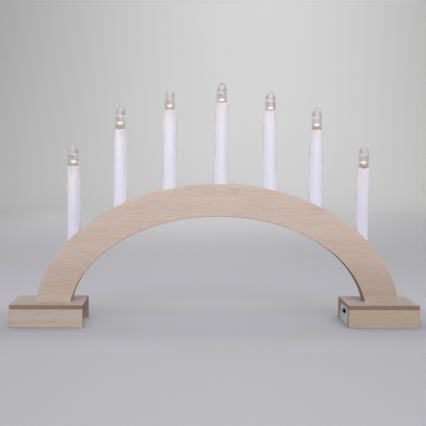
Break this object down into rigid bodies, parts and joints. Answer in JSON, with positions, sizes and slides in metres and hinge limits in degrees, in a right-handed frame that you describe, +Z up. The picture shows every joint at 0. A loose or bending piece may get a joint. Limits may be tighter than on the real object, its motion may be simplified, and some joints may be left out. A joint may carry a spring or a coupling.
{
  "type": "candle arch",
  "caption": "Elliptical wooden arch on two plate feet, with white electric candles along its top and a battery holder with a switch hidden in one foot.",
  "frame": {"origin": "midway between the feet, on the surface that they stand on", "axes": "+Z up, +X along the arch towards the foot with the battery holder, -Y the front"},
  "size_m": [0.4, 0.0512, 0.2383],
  "materials": {
    "pale_wood": "raw, fine grain, laser-browned edges",
    "candle_white": "smooth white",
    "clear_tip": "clear",
    "warm_diode": "lit, warm white",
    "screw_steel": "zinc plated",
    "wire_red": "insulated wire",
    "wire_black": "insulated wire",
    "case_white": "satin white",
    "black_plastic": "matte black",
    "contact_metal": "nickel plated",
    "cell_sleeve": "plain sleeve",
    "board_green": "solder mask",
    "resistor_tan": "lacquered",
    "foam_tape": "soft foam"
  },
  "bodies": {
    "arch": {"arch_board": "pale_wood", "left_foot_top": "pale_wood", "left_foot_front": "pale_wood", "left_foot_back": "pale_wood", "right_foot_top": "pale_wood", "right_foot_front": "pale_wood", "right_foot_back": "pale_wood", "arch_screws_left": "screw_steel", "arch_screws_right": "screw_steel", "candle_tube_1": "candle_white", "candle_tube_2": "candle_white", "candle_tube_3": "candle_white", "candle_tube_4": "candle_white", "candle_tube_5": "candle_white", "candle_tube_6": "candle_white", "candle_tube_7": "candle_white", "flame_tip_1": "clear_tip", "flame_tip_2": "clear_tip", "flame_tip_3": "clear_tip", "flame_tip_4": "clear_tip", "flame_tip_5": "clear_tip", "flame_tip_6": "clear_tip", "flame_tip_7": "clear_tip", "led_1": "warm_diode", "led_2": "warm_diode", "led_3": "warm_diode", "led_4": "warm_diode", "led_5": "warm_diode", "led_6": "warm_diode", "led_7": "warm_diode", "candle_leads_1": "wire_black", "candle_leads_2": "wire_black", "candle_leads_3": "wire_black", "candle_leads_4": "wire_black", "candle_leads_5": "wire_black", "candle_leads_6": "wire_black", "candle_leads_7": "wire_black", "supply_wire_red": "wire_red", "supply_wire_black": "wire_black", "battery_case": "case_white", "battery_cell_front": "cell_sleeve", "battery_cell_back": "cell_sleeve", "terminal_spring": "contact_metal", "terminal_plate": "contact_metal", "bridge_contact": "contact_metal", "control_board": "board_green", "timer_chip": "black_plastic", "series_resistor": "resistor_tan", "slide_switch": "black_plastic", "mounting_tape": "foam_tape"},
    "battery_cover": {"battery_cover": "case_white"},
    "switch_knob": {"switch_knob": "black_plastic"}
  },
  "joints": [
    {"name": "battery_cover_slide", "type": "slide", "parent": "arch", "child": "battery_cover", "axis": [1, 0, 0], "range_m": [0, 0.07]},
    {"name": "switch_slide", "type": "slide", "parent": "arch", "child": "switch_knob", "axis": [0, 1, 0], "range_m": [0, 0.004]}
  ]
}
